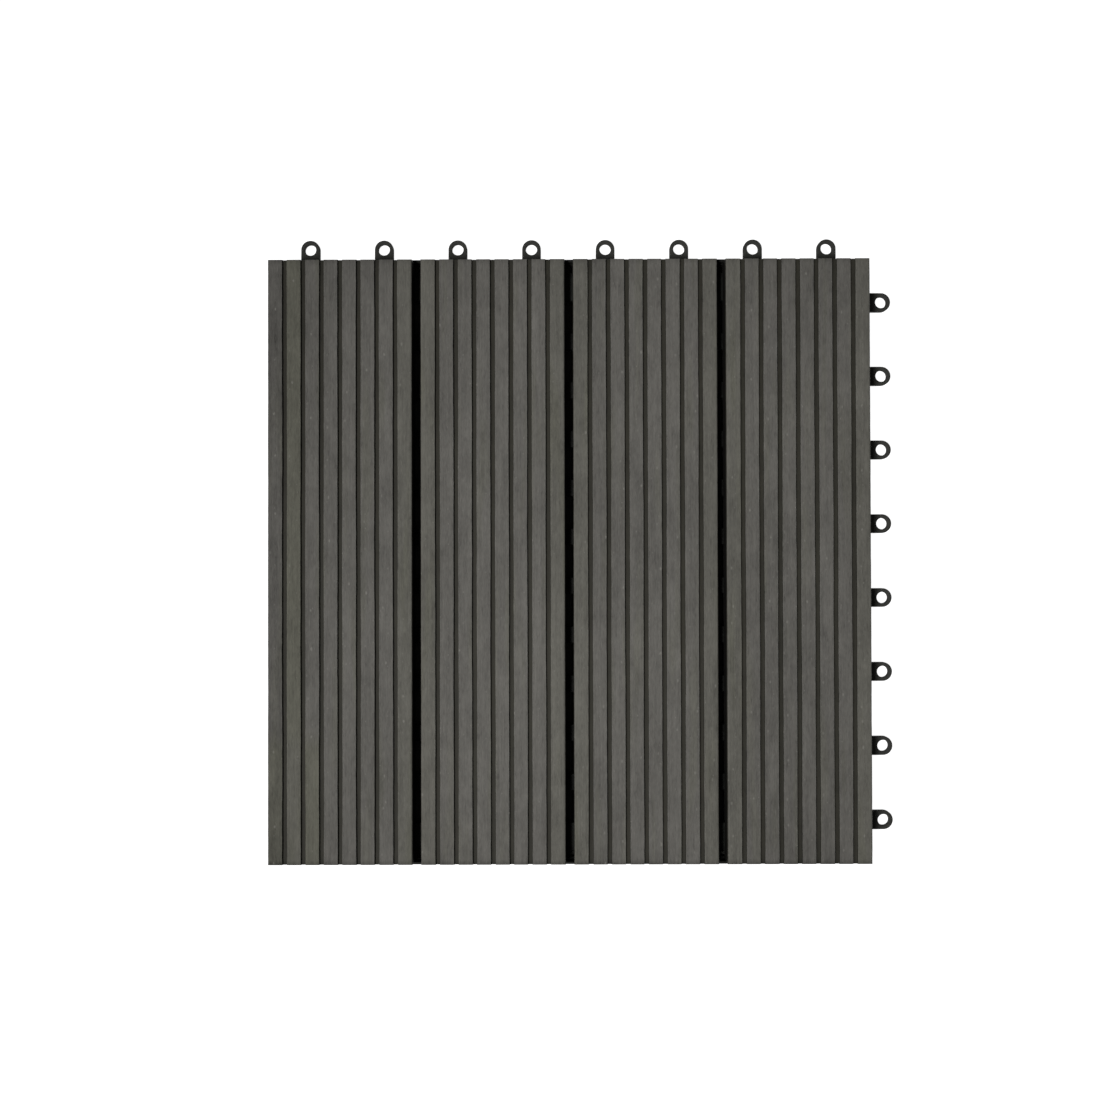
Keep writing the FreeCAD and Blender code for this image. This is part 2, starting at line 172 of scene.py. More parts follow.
class Shader:
    """One material whose patterns read Object coordinates."""

    def __init__(self, name: str) -> None:
        """Make an empty material with a Principled surface.

        Args:
            name: the material's name.
        """
        self.material = bpy.data.materials.new(name)
        self.material.use_nodes = True
        self.tree = self.material.node_tree
        self.tree.nodes.clear()
        self.surface = self.tree.nodes.new("ShaderNodeBsdfPrincipled")
        output = self.tree.nodes.new("ShaderNodeOutputMaterial")
        self.tree.links.new(self.surface.outputs["BSDF"], output.inputs["Surface"])
        self.place = self.node("ShaderNodeTexCoord", output="Object")

    def node(
        self,
        kind: str,
        settings: dict[str, object] | None = None,
        inputs: dict[str | int, object] | None = None,
        output: str | int = 0,
    ) -> Signal:
        """Add one node.

        Args:
            kind: the node's type.
            settings: its properties, set before its sockets.
            inputs: a value or a Signal for each named or numbered input.
            output: the output that is wanted.

        Returns:
            That output.
        """
        made = self.tree.nodes.new(kind)
        for name, value in (settings or {}).items():
            setattr(made, name, value)
        for name, value in (inputs or {}).items():
            self.feed(made.inputs[name], value)
        return Signal(self, made.outputs[output])

    def feed(self, socket: bpy.types.NodeSocket, value: object) -> None:
        """Give a socket its value.

        Args:
            socket: the input socket.
            value: a Signal, which is linked to it, or a plain value, which is set.
        """
        if isinstance(value, Signal):
            self.tree.links.new(value.socket, socket)
        else:
            socket.default_value = value

    def axis(self, name: str) -> Signal:
        """One coordinate of the surface point, in metres."""
        return self.node("ShaderNodeSeparateXYZ", inputs={0: self.place}, output=name)

    def cloud(self, noise: Noise) -> Signal:
        """Soft noise around 0.5.

        Args:
            noise: its grain, shift and finer layers.

        Returns:
            The noise.
        """
        settings = {"vector_type": "POINT"}
        scale = tuple(1 / length for length in noise.grain)
        inputs = {"Vector": self.place, "Location": (noise.shift,) * 3, "Scale": scale}
        place = self.node("ShaderNodeMapping", settings, inputs)
        inputs = {"Vector": place, "Scale": 1.0, "Detail": noise.detail, "Roughness": noise.rough}
        return self.node(Pattern.CLOUD.value, inputs=inputs)

    def swing(self, noise: Noise) -> Signal:
        """Soft noise around 0."""
        return self.cloud(noise) - 0.5

    def specks(self, scatter: Scatter, ragged: Signal) -> Signal:
        """Small marks scattered over X and Y, each of its own strength.

        Args:
            scatter: how large and how frequent they are.
            ragged: noise around 0 that frays their outlines.

        Returns:
            Up to 1 in the middle of a mark, 0 elsewhere.
        """
        scale = (1 / scatter.pitch[0], 1 / scatter.pitch[1], 1.0)
        place = self.node("ShaderNodeMapping", inputs={"Vector": self.place, "Scale": scale})
        settings = {"voronoi_dimensions": "2D"}
        inputs = {"Vector": place, "Scale": 1.0}
        near = self.node(Pattern.CELLS.value, settings, inputs, "Distance")
        tint = self.node(Pattern.CELLS.value, settings, inputs, "Color")
        pick = self.node("ShaderNodeSeparateColor", inputs={0: tint}, output=0)
        near = near + scatter.fray * scatter.radius * ragged
        mark = near.step(scatter.radius, scatter.core * scatter.radius)
        return mark * pick.step(1.0 - scatter.fade * scatter.share, 1.0)

    def blend(self, factor: object, first: object, second: object) -> Signal:
        """Mix two colours.

        Args:
            factor: 0 for the first colour, 1 for the second.
            first: a Signal or a plain colour.
            second: likewise.

        Returns:
            The mixed colour.
        """
        settings = {"data_type": "RGBA"}
        inputs = {0: factor, 6: first, 7: second}
        return self.node("ShaderNodeMix", settings, inputs, 2)

    def shade(self, tint: Signal, amount: Signal) -> Signal:
        """Make a colour lighter or darker.

        Args:
            tint: the colour.
            amount: the factor for all its three shares.

        Returns:
            The product.
        """
        grey = self.node("ShaderNodeCombineColor", inputs={0: amount, 1: amount, 2: amount})
        settings = {"data_type": "RGBA", "blend_type": "MULTIPLY", "clamp_result": False}
        return self.node("ShaderNodeMix", settings, {0: 1.0, 6: tint, 7: grey}, 2)

    def bump(self, height: Signal, depth: float, strength: float) -> Signal:
        """Normal of a relief of the given depth, in metres."""
        inputs = {"Height": height, "Distance": depth, "Strength": strength}
        return self.node("ShaderNodeBump", inputs=inputs)

    def finish(self, **sockets: object) -> bpy.types.Material:
        """Set the surface's sockets.

        Args:
            sockets: a value or a Signal for each, named with underlines for spaces.

        Returns:
            The material.
        """
        for name, value in sockets.items():
            self.feed(self.surface.inputs[name.replace("_", " ")], value)
        return self.material


def colour(red: float, green: float, blue: float) -> Colour:
    """A colour socket's value from three linear shares."""
    return (red, green, blue, 1.0)


def inside(limit: float, margins: Pair) -> Pair:
    """Two values that lie inside a limit by two margins."""
    return (limit - margins[0], limit - margins[1])


def packed_box(name: str) -> np.ndarray:
    """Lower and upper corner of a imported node, rounded to a micrometre."""
    corners = np.array([vertex.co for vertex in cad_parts[name].data.vertices])
    return np.stack((corners.min(axis=0), corners.max(axis=0))).round(6)


def distance(low: float, high: float) -> float:
    """Distance between two coordinates, rounded to a micrometre."""
    return round(float(high) - float(low), 6)


FIRST_BOARD = packed_box("slat_1")
SECOND_BOARD = packed_box("slat_2")


@dataclass(frozen=True)
class BoardSize:
    """Sizes of the boards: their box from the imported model, the rest as it was modelled.

    Boards, gaps, grooves and ribs are numbered from 0, from the -X side.
    """

    count: int = 4
    pitch: float = distance(FIRST_BOARD[0][0], SECOND_BOARD[0][0])
    width: float = distance(FIRST_BOARD[0][0], FIRST_BOARD[1][0])
    length: float = distance(FIRST_BOARD[0][1], FIRST_BOARD[1][1])
    bottom: float = float(FIRST_BOARD[0][2])
    top: float = float(FIRST_BOARD[1][2])
    edge_radius: float = 1.1 * MM
    lip_radius: float = 0.2 * MM
    corner_radius: float = 0.3 * MM
    grooves: int = 7
    groove_pitch: float = 9.05 * MM
    groove_floor: float = 1.02 * MM
    groove_flare: float = 0.12 * MM
    groove_depth: float = 1.3 * MM
    bevel: float = 0.55 * MM
    side_bevel: float = 0.2 * MM
    hole_radius: float = 2.0 * MM
    hole_depth: float = 6.8 * MM
    hole_line: float = 110.025 * MM

    @property
    def outer_side(self) -> float:
        """Distance of the outermost boards' outer sides from the tile's middle."""
        return self.board_middle(self.count - 1) + self.width / 2

    def board_middle(self, board: int) -> float:
        """X of the middle of one board."""
        return (board - (self.count - 1) / 2) * self.pitch

    def gap_middle(self, gap: int) -> float:
        """X of the middle of one gap between boards."""
        return self.board_middle(gap) + self.pitch / 2

    def groove_middle(self, groove: int | np.ndarray) -> float | np.ndarray:
        """X of the middle of one groove, or of several, from its board's middle."""
        return (groove - (self.grooves - 1) / 2) * self.groove_pitch

    def rib_middle(self, board: int, rib: int) -> float:
        """X of the middle of one rib."""
        return self.board_middle(board) + (rib - self.grooves / 2) * self.groove_pitch


@dataclass(frozen=True)
class CompositeFinish:
    """Wood-plastic composite: brushed on the tread, a dark extruded skin elsewhere, sawn ends.

    The sides that face a gap carry painted shade, darker still. A rise is the pair of values
    between which a mask grows from 0 to 1. Depths and margins are such pairs too, counted
    downwards from the tread or inwards from the boards' outer sides or ends. The strips' shift
    along X says where their borders are and which random tones they get.
    """

    brushed: Colour = colour(0.0725, 0.0696, 0.0632)
    olive: Colour = colour(0.0699, 0.0686, 0.0553)
    skin: Colour = colour(0.0172, 0.0162, 0.0121)
    sawn: Colour = colour(0.0390, 0.0376, 0.0338)
    # side: painted shade on the sides that face a gap, where shade falls between the boards
    side: Colour = colour(0.0050, 0.0048, 0.0040)
    fleck: Colour = colour(0.155, 0.150, 0.135)

    streak: Noise = Noise((0.8 * MM, 38 * MM, 1.0), 0.3, 3.0, 0.6, tone=0.50, relief=0.5)
    fibre: Noise = Noise((0.45 * MM, 2.6 * MM, 0.6 * MM), 1.7, 3.0, 0.65, tone=0.80, relief=0.8)
    mottle: Noise = Noise((5.0 * MM, 12 * MM, 9 * MM), 3.1, 4.0, 0.6, tone=0.68, relief=0.5)
    drift: Noise = Noise((45 * MM, 80 * MM, 1.0), 5.3, 1.0, tone=0.38)
    dent: Noise = Noise((1.2 * MM, 4.5 * MM, 1.0), 21.7, 2.0, 0.6, tone=-0.14, relief=-0.3)
    dent_rise: Pair = (0.56, 0.74)
    marks: tuple[Scatter, Scatter, Scatter] = (
        Scatter((9 * MM, 15 * MM), 0.065, 0.45, strength=0.50),
        Scatter((3.7 * MM, 5.3 * MM), 0.10, 0.25, strength=0.36),
        Scatter((5.3 * MM, 47 * MM), 0.045, 0.30, strength=0.30),
    )

    bands: Noise = Noise((7 * MM, 90 * MM, 1.0), 8.9, 2.0)
    bands_rise: Pair = (0.52, 0.70)
    bands_olive: float = 0.45
    edge_olive: float = 0.4
    foot_olive: float = 0.9
    foot_rise: Pair = (-80 * MM, -95 * MM)
    rib_half: float = 3.7 * MM
    rib_fade: float = 0.5 * MM
    strip_spread: float = 0.06
    strip_shift: float = 1.0
    first_rib_dark: float = 0.18

    tread_depth: Pair = (0.60 * MM, 0.26 * MM)
    # depth below the tread and margin from the outer sides of the painted shade on the gap-facing
    # sides
    gap_shade_depth: Pair = (1.3 * MM, 2.3 * MM)
    gap_shade_margin: Pair = (1 * MM, 2 * MM)
    end_margin: Pair = (0.08 * MM, 0.02 * MM)
    brink_margin: Pair = (3.0 * MM, 0.3 * MM)
    brink_dark: float = 0.22
    brink_slope: float = 0.7

    relief_depth: float = 0.08 * MM
    relief_strength: float = 0.7
    roughness: float = 0.66
    tread_roughness: float = 0.14
    fibre_roughness: float = 0.3
    specular: float = 0.1

    def on_rib(self, apart: Signal) -> Signal:
        """1 where a point lies within half a rib's width of its middle, 0 elsewhere."""
        return apart.step(self.rib_half, self.rib_half - self.rib_fade)

    def olive_share(self, x: Signal, y: Signal, size: BoardSize) -> Signal:
        """How olive the tread is.

        The ribs at the boards' long edges are a little olive, but not the outermost rib of the
        first board. The rib next to it is olive all along, and at its foot hands over to its
        two neighbours. Faint lengthwise bands come on top.

        Args:
            x: the surface point's X.
            y: its Y.
            size: the boards' sizes.

        Returns:
            The share of the olive tint.
        """
        board = (x / size.pitch).floor() * size.pitch + size.pitch / 2
        edge = size.rib_middle(0, size.grooves) - size.rib_middle(0, 0)
        at_edge = self.on_rib(((x - board).size() - edge / 2).size())
        first, second, third = (
            self.on_rib((x - size.rib_middle(0, rib)).size()) for rib in range(3)
        )
        foot = y.step(*self.foot_rise)
        bands = x.shader.cloud(self.bands).step(*self.bands_rise)
        whole = second * (1.0 - self.foot_olive / 2 * foot)
        below = self.foot_olive * foot * (first + third)
        return self.bands_olive * bands + self.edge_olive * (at_edge - first) + whole + below

    def end_shadow(self, y: Signal, size: BoardSize) -> Signal:
        """How much darker the tread gets at the cut ends, at the -Y end more than at the other."""
        brink = y.size().step(*inside(size.length / 2, self.brink_margin))
        return brink * (self.brink_dark - self.brink_slope * y)

    def rib_tone(self, x: Signal, size: BoardSize) -> Signal:
        """How much lighter or darker the strips along the boards are.

        Strips as wide as the grooves' pitch have random tones of their own, and the outermost
        rib of the first board is darker than the rest.

        Args:
            x: the surface point's X.
            size: the boards' sizes.

        Returns:
            The difference, around 0.
        """
        number = ((x + self.strip_shift) / size.groove_pitch).floor()
        settings = {"noise_dimensions": "1D"}
        random = x.shader.node(Pattern.DICE.value, settings, {"W": number})
        first = self.on_rib((x - size.rib_middle(0, 0)).size())
        return self.strip_spread * (random - 0.5) - self.first_rib_dark * first

    def material(self, size: BoardSize) -> bpy.types.Material:
        """Build the material.

        Args:
            size: the boards' sizes, which say where the tread and the cut ends are.

        Returns:
            The material.
        """
        shader = Shader("brushed_composite")
        x, y, z = (shader.axis(name) for name in "XYZ")
        tread = z.step(*inside(size.top, self.tread_depth))
        end = y.size().step(*inside(size.length / 2, self.end_margin))
        # mask of the painted shade on the sides that face a gap, below the tread and inside the
        # outer sides
        gap = z.step(*inside(size.top, self.gap_shade_depth))
        gap = gap * x.size().step(*inside(size.outer_side, self.gap_shade_margin))

        streak, fibre, mottle, drift = (
            shader.swing(noise) for noise in (self.streak, self.fibre, self.mottle, self.drift)
        )
        dent = shader.cloud(self.dent).step(*self.dent_rise)
        tone = (
            1.0
            + self.streak.tone * streak
            + self.fibre.tone * fibre
            + self.mottle.tone * mottle
            + self.drift.tone * drift
            + self.dent.tone * dent
            + self.rib_tone(x, size)
            - self.end_shadow(y, size)
        )

        worn = shader.blend(self.olive_share(x, y, size), self.brushed, self.olive)
        # the sides that face a gap take the painted shade instead of the skin
        skin = shader.blend(gap, self.skin, self.side)
        body = shader.blend(tread, skin, worn)
        body = shader.blend(end, body, self.sawn)
        body = shader.shade(body, tone)
        specks, grains, scratches = (
            mark.strength * shader.specks(mark, fibre) for mark in self.marks
        )
        body = shader.blend((specks + grains + scratches) * tread, body, self.fleck)

        relief = self.streak.relief * streak + self.fibre.relief * fibre
        relief = relief + self.mottle.relief * mottle + self.dent.relief * dent
        rough = self.roughness + self.tread_roughness * tread + self.fibre_roughness * fibre
        return shader.finish(
            Base_Color=body,
            Roughness=rough,
            Normal=shader.bump(relief, self.relief_depth, self.relief_strength),
            Specular_IOR_Level=self.specular,
        )


@dataclass(frozen=True)
class MouldedPlastic:
    """Black-grey moulded plastic with the fine grain of a spark-eroded mould.

    It has painted shade between and under the boards and on the rim's top, and painted light
    that leaves it a little less dark on the outermost cross bars. The pairs are values between
    which a mask grows from 0 to 1.
    """

    body: Colour = colour(0.0236, 0.0238, 0.0215)
    rubbed: Colour = colour(0.0370, 0.0373, 0.0342)
    # painted shade between and under the boards, on the rim's top and on the stops above it
    painted_shade: Colour = colour(0.0055, 0.0057, 0.0050)
    # painted light on the outermost cross bars, where light comes in at the gaps' ends
    outer_bar_painted_light: Colour = colour(0.0105, 0.0113, 0.0096)

    grain: Noise = Noise((0.35 * MM,) * 3, 0.7, 2.0, 0.6, tone=0.18, relief=0.7)
    flow: Noise = Noise((11 * MM, 11 * MM, 6 * MM), 4.1, 3.0, tone=0.30, relief=0.5)
    scuff: Noise = Noise((2.2 * MM,) * 3, 9.2, 3.0, 0.7, tone=0.5)
    scuff_rise: Pair = (0.55, 0.75)

    # height and edge at which the painted shade under the boards begins
    shade_rise: Pair = (9 * MM, 11 * MM)
    shade_edge: Pair = (149.2 * MM, 148.2 * MM)
    # where the painted light on the outermost cross bars starts and ends along Y
    bar_light_start: Pair = (128 * MM, 129 * MM)
    bar_light_end: Pair = (142.5 * MM, 141.5 * MM)
    rim_top: float = 12 * MM
    # depth below the rim's top at which its painted shade begins
    rim_shade_depth: Pair = (0.3 * MM, 0.1 * MM)

    relief_depth: float = 0.05 * MM
    relief_strength: float = 0.7
    roughness: float = 0.74
    scuff_roughness: float = 0.08
    grain_roughness: float = 0.2
    specular: float = 0.08

    def material(self) -> bpy.types.Material:
        """Build the material.

        Returns:
            The material.
        """
        shader = Shader("moulded_plastic")
        x, y, z = (shader.axis(name) for name in "XYZ")
        grain = shader.swing(self.grain)
        flow = shader.swing(self.flow)
        scuff = shader.cloud(self.scuff).step(*self.scuff_rise)
        # mask of the painted shade under the boards
        shade_under_boards = x.size().step(*self.shade_edge) * y.size().step(*self.shade_edge)
        shade_under_boards = shade_under_boards * z.step(*self.shade_rise)
        # mask of the painted light on the outermost cross bars, near the gaps' ends
        bar_light = y.size().step(*self.bar_light_start) * y.size().step(*self.bar_light_end)
        # mask of the painted shade on the rim's top and on the stops that stand above it
        rim_shade = z.step(*inside(self.rim_top, self.rim_shade_depth))

        body = shader.blend(self.scuff.tone * scuff, self.body, self.rubbed)
        # under the boards: painted shade, a little lighter on the outermost cross bars by painted
        # light
        body = shader.blend(shade_under_boards, body, shader.blend(bar_light, self.painted_shade, self.outer_bar_painted_light))
        # painted shade on the rim's top and on the stops, outside the square under the boards
        body = shader.blend(rim_shade - rim_shade * shade_under_boards, body, self.painted_shade)
        body = shader.shade(body, 1.0 + self.flow.tone * flow + self.grain.tone * grain)
        rough = self.roughness + self.scuff_roughness * scuff + self.grain_roughness * grain
        relief = self.grain.relief * grain + self.flow.relief * flow
        return shader.finish(
            Base_Color=body,
            Roughness=rough,
            Normal=shader.bump(relief, self.relief_depth, self.relief_strength),
            Specular_IOR_Level=self.specular,
        )


@dataclass(frozen=True)
class PlatedSteel:
    """Zinc-plated screw steel with a faint mottle."""

    bright: Colour = colour(0.58, 0.58, 0.55)
    dull: Colour = colour(0.42, 0.41, 0.36)
    patch: Noise = Noise((1.1 * MM,) * 3, 2.2, 3.0, 0.6)
    patch_rise: Pair = (0.4, 0.65)
    roughness: float = 0.26
    patch_roughness: float = 0.3
    relief_depth: float = 0.015 * MM
    relief_strength: float = 0.5

    def material(self) -> bpy.types.Material:
        """Build the material.

        Returns:
            The material.
        """
        shader = Shader("plated_steel")
        patch = shader.cloud(self.patch)
        return shader.finish(
            Base_Color=shader.blend(patch.step(*self.patch_rise), self.bright, self.dull),
            Metallic=1.0,
            Roughness=self.roughness + self.patch_roughness * patch,
            Normal=shader.bump(patch, self.relief_depth, self.relief_strength),
        )


def arc(centre: Pair, radius: float, start: float, end: float, count: int) -> np.ndarray:
    """Points on a circular arc.

    Each is the centre plus the radius times (cos, sin) of angles spread evenly from start to end.

    Args:
        centre: middle of the circle.
        radius: its radius.
        start: first angle, in degrees.
        end: last angle, in degrees.
        count: number of points.

    Returns:
        An array of (x, z) rows.
    """
    angle = np.radians(np.linspace(start, end, count))
    return np.column_stack((centre[0] + radius * np.cos(angle), centre[1] + radius * np.sin(angle)))


def round_angles(count: int) -> np.ndarray:
    """Angles spread evenly over a whole turn, in radians, the last short of the first."""
    return np.linspace(0, 2 * np.pi, count, endpoint=False)


def add_object(name: str, data: bpy.types.ID) -> bpy.types.Object:
    """Put a new object into the scene, at the origin.

    Args:
        name: its name.
        data: its mesh, light or camera.

    Returns:
        The object.
    """
    made = bpy.data.objects.new(name, data)
    bpy.context.scene.collection.objects.link(made)
    return made


def mesh_piece(name: str, points: np.ndarray, faces: list[list[int]]) -> bpy.types.Object:
    """Make a mesh object at the origin.

    Args:
        name: name of the object and its mesh.
        points: its vertices, one (x, y, z) row each.
        faces: vertex numbers of each face.

    Returns:
        The object, already in the scene.
    """
    mesh = bpy.data.meshes.new(name)
    mesh.from_pydata(points.tolist(), [], faces)
    mesh.validate()
    return add_object(name, mesh)


def tube_faces(rows: int, columns: int, first: int = 0) -> list[list[int]]:
    """Faces of a closed tube of rings: quads between neighbouring rings, and one cap at each end.

    Args:
        rows: number of rings.
        columns: points in a ring.
        first: number of the tube's first point.

    Returns:
        The vertex numbers of each face.
    """
    number = first + np.arange(rows * columns).reshape(rows, columns)
    beside = np.roll(number, -1, axis=1)
    quads = np.stack((number[:-1], beside[:-1], beside[1:], number[1:]), axis=-1)
    return quads.reshape(-1, 4).tolist() + [number[0, ::-1].tolist(), number[-1].tolist()]


def smooth_by_angle(piece: bpy.types.Object, degrees: float) -> None:
    """Shade a piece smooth.

    Args:
        piece: the piece.
        degrees: edges that turn by more than this stay sharp.
    """
    mesh = piece.data
    mesh.polygons.foreach_set("use_smooth", np.ones(len(mesh.polygons), dtype=bool))
    mesh.set_sharp_from_angle(angle=np.radians(degrees))


def outward(piece: bpy.types.Object) -> None:
    """Turn every face outwards.

    Args:
        piece: a piece with a closed mesh.
    """
    work = bmesh.new()
    work.from_mesh(piece.data)
    bmesh.ops.recalc_face_normals(work, faces=work.faces)
    work.to_mesh(piece.data)
    work.free()


def carve(piece: bpy.types.Object, cutter: bpy.types.Object) -> None:
    """Cut one closed mesh out of another and remove the cutter.

    Args:
        piece: the piece that is cut.
        cutter: the form that is taken away.
    """
    modifier = piece.modifiers.new("carve", "BOOLEAN")
    modifier.operation = "DIFFERENCE"
    modifier.solver = "EXACT"
    modifier.object = cutter
    graph = bpy.context.evaluated_depsgraph_get()
    carved = bpy.data.meshes.new_from_object(piece.evaluated_get(graph))
    piece.modifiers.clear()
    old = piece.data
    piece.data = carved
    carved.name = piece.name
    bpy.data.meshes.remove(old)
    bpy.data.objects.remove(cutter)


def round_edges(
    work: bmesh.types.BMesh,
    edges: list[bmesh.types.BMEdge],
    radius: float,
    segments: int,
    clamp: bool,
) -> None:
    """Round some edges of a mesh.

    Args:
        work: the mesh.
        edges: its edges that are rounded.
        radius: how far from the edge the rounding starts.
        segments: number of faces across it.
        clamp: whether roundings that would meet are held back.
    """
    bmesh.ops.bevel(
        work,
        geom=edges,
        offset=radius,
        offset_type="OFFSET",
        segments=segments,
        profile=0.5,
        affect="EDGES",
        clamp_overlap=clamp,
    )


def dress(piece: bpy.types.Object, material: bpy.types.Material, slot: str, *nodes: str) -> None:
    """Give a piece its material and its body, and hide the CAD nodes that it stands for.

    Args:
        piece: the piece.
        material: its material.
        slot: not used.
        nodes: the CAD nodes that it stands for.
    """
    piece.data.materials.clear()
    piece.data.materials.append(material)
    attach(piece, "root")
    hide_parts(*nodes)
    LOG.info("%s: %d faces", piece.name, len(piece.data.polygons))


@dataclass(frozen=True)
class Boards:
    """The four grooved boards.

    The waves are the lengths and the shares of the sines that make walls wander.
    """

    size: BoardSize = BoardSize()
    finish: CompositeFinish = CompositeFinish()
    stations: int = 150
    corner_points: int = 4
    edge_points: int = 7
    foot_points: int = 4
    lip_points: int = 5
    end_points: int = 5
    wall_lean: float = 6.0
    lip_run: float = 2.5
    wobble: float = 0.07 * MM
    waves: tuple[Pair, ...] = (
        (190 * MM, 0.9),
        (71 * MM, 0.5),
        (26 * MM, 0.4),
        (11 * MM, 0.35),
        (6 * MM, 0.3),
    )
    wave_spread: Pair = (0.8, 1.25)
    side_share: float = 0.6
    seed: int = 411
    hole_sides: int = 28
    crease: float = 35.0

    def tread_line(self) -> np.ndarray:
        """Section from the lower left corner over the tread to the lower right corner.

        It goes up the left side, round the long edge, over each groove, whose walls lean
        outwards between a rounded foot and a rounded lip, and down the right side.

        Returns:
            (x, z) rows about the board's middle line.
        """
        s = self.size
        corner, edge = s.corner_radius, s.edge_radius
        across = s.width / 2 - corner
        runs = [
            arc((-across, s.bottom + corner), corner, 270, 180, self.corner_points),
            arc((edge - s.width / 2, s.top - edge), edge, 180, 90, self.edge_points),
        ]
        runs += [self.groove_line(s.groove_middle(number)) for number in range(s.grooves)]
        runs += [
            arc((s.width / 2 - edge, s.top - edge), edge, 90, 0, self.edge_points),
            arc((across, s.bottom + corner), corner, 0, -90, self.corner_points),
        ]
        return np.concatenate(runs)

    def groove_line(self, middle: float) -> np.ndarray:
        """Section of one groove, with two flat points on each rib beside it.

        The floor's corners and the lips are arcs of the lip's radius, each shorter than a
        quarter turn by the walls' lean.

        Args:
            middle: X of the groove's middle, from the board's middle.

        Returns:
            (x, z) rows from left to right.
        """
        s = self.size
        lip, lean = s.lip_radius, self.wall_lean
        mouth = s.groove_floor + s.groove_flare
        floor = s.top - s.groove_depth
        flat = [[mouth + self.lip_run * lip, s.top], [s.groove_pitch / 2 - lip, s.top]]
        right = np.concatenate(
            (
                arc((s.groove_floor - lip, floor + lip), lip, 270, 360 - lean, self.foot_points),
                arc((mouth + lip, s.top - lip), lip, 180 - lean, 90, self.lip_points),
                np.array(flat),
            )
        )
        left = right[::-1] * np.array([-1.0, 1.0])
        return np.concatenate((left, [[0.0, floor]], right)) + np.array([middle, 0.0])

    def walls(self) -> np.ndarray:
        """X of the board's sides and groove walls, which wander a little along the board.

        Returns:
            One number for each wall, from left to right.
        """
        s = self.size
        middles = s.groove_middle(np.arange(s.grooves))
        pairs = np.stack((middles - s.groove_floor, middles + s.groove_floor), axis=1)
        return np.concatenate(([-s.width / 2], pairs.ravel(), [s.width / 2]))

    def wander(self, along: np.ndarray, number: int) -> np.ndarray:
        """How far each wall strays at each station: a sum of sines of seeded phase and pitch.

        The board's sides stray inwards only, so that the board keeps within its box.

        Args:
            along: Y of the stations.
            number: the board, from 0.

        Returns:
            One row for each wall, one column for each station.
        """
        random = np.random.default_rng(self.seed + number)
        count = len(self.walls())
        total = np.zeros((count, len(along)))
        for length, share in self.waves:
            phase = random.uniform(0, 2 * np.pi, (count, 1))
            pitch = length * random.uniform(*self.wave_spread, (count, 1))
            total += share * np.sin(2 * np.pi * along[None, :] / pitch + phase)
        total *= self.wobble
        total[0] = np.abs(total[0]) * self.side_share
        total[-1] = -np.abs(total[-1]) * self.side_share
        return total

    def surface(self, number: int) -> tuple[np.ndarray, int, int]:
        """Points of one board, worked out as a section carried along Y.

        The section's walls stray by the wander at each station. At the last stations the
        section is clamped to a box that shrinks along a quarter circle, which bevels the end.

        Args:
            number: the board, from 0.

        Returns:
            The points, the number of stations and the points of one section.
        """
        s = self.size
        line = self.tread_line()
        inner = s.length / 2 - s.bevel
        along = np.linspace(-inner, inner, self.stations)
        turn = np.radians(np.linspace(0, 90, self.end_points))[1:]
        out = inner + s.bevel * np.sin(turn)
        shrink = 1 - np.cos(turn)
        along = np.concatenate((-out[::-1], along, out))
        shrink = np.concatenate((shrink[::-1], np.zeros(self.stations), shrink))

        walls = self.walls()
        stray = self.wander(along, number)
        place = np.interp(line[:, 0], walls, np.arange(len(walls)))
        low = np.minimum(place.astype(int), len(walls) - 2)
        share = (place - low)[:, None]
        x = line[:, :1] + stray[low] * (1 - share) + stray[low + 1] * share
        room = s.width / 2 - s.side_bevel * shrink
        x = np.clip(x, -room, room) + s.board_middle(number)
        y = np.broadcast_to(along, x.shape)
        z = np.minimum(line[:, 1:], s.top - s.bevel * shrink)
        z = np.maximum(z, s.bottom + s.side_bevel * shrink)
        points = np.stack((x, y, z), axis=-1).transpose(1, 0, 2)
        return points.reshape(-1, 3), len(along), len(line)

    def hole_cutter(self, number: int) -> bpy.types.Object:
        """Round plugs for the two screw holes of one board.

        Each is a ring of points a millimetre below the board and another at the hole's end:
        x is the board's middle plus radius times cos, y the hole's line plus radius times sin.

        Args:
            number: the board, from 0.

        Returns:
            The plugs as one closed mesh object.
        """
        s = self.size
        angle = round_angles(self.hole_sides)
        height = np.array([[s.bottom - MM], [s.bottom + s.hole_depth]])
        points, faces = [], []
        for line in (-s.hole_line, s.hole_line):
            x = s.board_middle(number) + s.hole_radius * np.cos(angle)
            y = line + s.hole_radius * np.sin(angle)
            faces += tube_faces(2, self.hole_sides, 2 * self.hole_sides * len(points))
            points.append(np.stack(np.broadcast_arrays(x, y, height), axis=-1).reshape(-1, 3))
        cutter = mesh_piece(f"hole_cutter_{number}", np.concatenate(points), faces)
        outward(cutter)
        return cutter

    def build(self) -> None:
        """Make and dress every board."""
        material = self.finish.material(self.size)
        for number in range(self.size.count):
            points, rows, columns = self.surface(number)
            board = mesh_piece(f"board_{number + 1}", points, tube_faces(rows, columns))
            outward(board)
            carve(board, self.hole_cutter(number))
            smooth_by_angle(board, self.crease)
            dress(board, material, "slat_composite", f"slat_{number + 1}")


